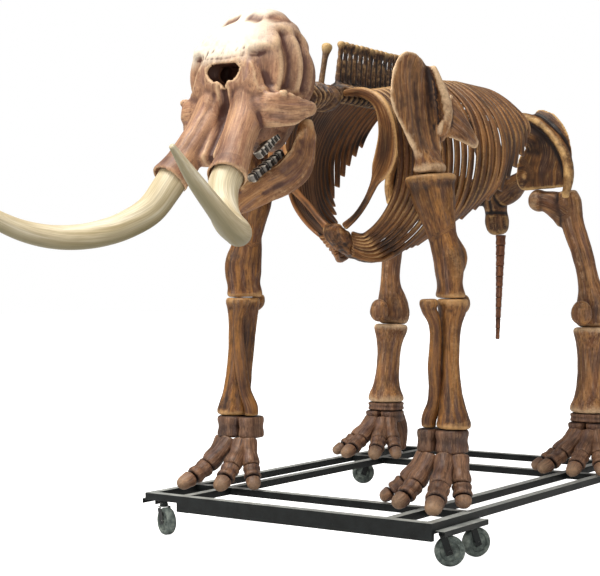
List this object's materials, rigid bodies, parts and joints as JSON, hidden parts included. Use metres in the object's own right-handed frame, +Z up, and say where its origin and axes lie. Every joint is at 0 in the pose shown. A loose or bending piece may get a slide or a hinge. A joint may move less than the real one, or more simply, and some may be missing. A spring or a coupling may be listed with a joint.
{
  "type": "mounted mastodon skeleton on a wheeled trolley",
  "caption": "Standing proboscidean skeleton with domed skull, long curved tusks and ribbed chest, its feet on an open black steel frame with swivel castors.",
  "frame": {"origin": "on the floor under the middle of the whole object, tusks included", "axes": "+Z up, the head looks along -Y, +X is the animal's left side"},
  "size_m": [2.2982, 4.8892, 3.1059],
  "materials": {
    "bone": "satin painted cast bone, golden to dark brown, streaked along the shafts, dark in the hollows and pale on the worn ridges",
    "ivory": "smooth cream cast ivory with fine long grain, olive brown underneath",
    "tooth": "dark grey tooth enamel with paler ridges",
    "black_steel": "black paint on welded steel, lightly scuffed and dusty",
    "wheel_rubber": "grey green rubber, dirty on the tread"
  },
  "bodies": {
    "trolley": {"trolley_frame": "black_steel", "skull": "bone", "jawbone": "bone", "tusk_left": "ivory", "tusk_right": "ivory", "upper_molar_left": "tooth", "upper_molar_right": "tooth", "lower_molar_left": "tooth", "lower_molar_right": "tooth", "neck_vertebrae": "bone", "last_neck_vertebra": "bone", "chest_ribs_01": "bone", "chest_ribs_02": "bone", "chest_ribs_03": "bone", "chest_ribs_04": "bone", "chest_ribs_05": "bone", "chest_ribs_06": "bone", "chest_ribs_07": "bone", "chest_ribs_08": "bone", "chest_ribs_09": "bone", "chest_ribs_10": "bone", "chest_ribs_11": "bone", "chest_ribs_12": "bone", "breastbone": "bone", "loin_vertebrae": "bone", "pelvis": "bone", "tail": "bone", "shoulder_blade_left": "bone", "shoulder_blade_right": "bone", "humerus_left": "bone", "humerus_right": "bone", "radius_left": "bone", "radius_right": "bone", "ulna_left": "bone", "ulna_right": "bone", "fore_foot_left": "bone", "fore_foot_right": "bone", "femur_left": "bone", "femur_right": "bone", "kneecap_left": "bone", "kneecap_right": "bone", "tibia_left": "bone", "tibia_right": "bone", "hind_foot_left": "bone", "hind_foot_right": "bone"},
    "front_left_castor_fork": {"front_left_castor_fork": "black_steel"},
    "front_left_castor_wheel": {"front_left_castor_wheel": "wheel_rubber"},
    "second_left_castor_fork": {"second_left_castor_fork": "black_steel"},
    "second_left_castor_wheel": {"second_left_castor_wheel": "wheel_rubber"},
    "rear_left_castor_fork": {"rear_left_castor_fork": "black_steel"},
    "rear_left_castor_wheel": {"rear_left_castor_wheel": "wheel_rubber"},
    "front_right_castor_fork": {"front_right_castor_fork": "black_steel"},
    "front_right_castor_wheel": {"front_right_castor_wheel": "wheel_rubber"},
    "rear_right_castor_fork": {"rear_right_castor_fork": "black_steel"},
    "rear_right_castor_wheel": {"rear_right_castor_wheel": "wheel_rubber"}
  },
  "joints": [
    {"name": "front_left_swivel", "type": "hinge", "parent": "trolley", "child": "front_left_castor_fork", "pos_m": [1.032, -0.4354, 0.2], "axis": [0, 0, 1], "continuous": true},
    {"name": "front_left_roll", "type": "hinge", "parent": "front_left_castor_fork", "child": "front_left_castor_wheel", "pos_m": [1.06019, -0.41639, 0.084], "axis": [0.5592, -0.829, 0], "continuous": true},
    {"name": "second_left_swivel", "type": "hinge", "parent": "trolley", "child": "second_left_castor_fork", "pos_m": [1.032, -0.1254, 0.2], "axis": [0, 0, 1], "continuous": true},
    {"name": "second_left_roll", "type": "hinge", "parent": "second_left_castor_fork", "child": "second_left_castor_wheel", "pos_m": [1.049, -0.09595, 0.084], "axis": [0.866, -0.5, 0], "continuous": true},
    {"name": "rear_left_swivel", "type": "hinge", "parent": "trolley", "child": "rear_left_castor_fork", "pos_m": [1.032, 2.0046, 0.2], "axis": [0, 0, 1], "continuous": true},
    {"name": "rear_left_roll", "type": "hinge", "parent": "rear_left_castor_fork", "child": "rear_left_castor_wheel", "pos_m": [1.04363, 2.03655, 0.084], "axis": [0.9397, -0.342, 0], "continuous": true},
    {"name": "front_right_swivel", "type": "hinge", "parent": "trolley", "child": "front_right_castor_fork", "pos_m": [-0.9, -0.5254, 0.2], "axis": [0, 0, 1], "continuous": true},
    {"name": "front_right_roll", "type": "hinge", "parent": "front_right_castor_fork", "child": "front_right_castor_wheel", "pos_m": [-0.86826, -0.53758, 0.084], "axis": [-0.3584, -0.9336, 0], "continuous": true},
    {"name": "rear_right_swivel", "type": "hinge", "parent": "trolley", "child": "rear_right_castor_fork", "pos_m": [-1.032, 2.0046, 0.2], "axis": [0, 0, 1], "continuous": true},
    {"name": "rear_right_roll", "type": "hinge", "parent": "rear_right_castor_fork", "child": "rear_right_castor_wheel", "pos_m": [-1.06019, 1.98559, 0.084], "axis": [-0.5592, 0.829, 0], "continuous": true}
  ]
}
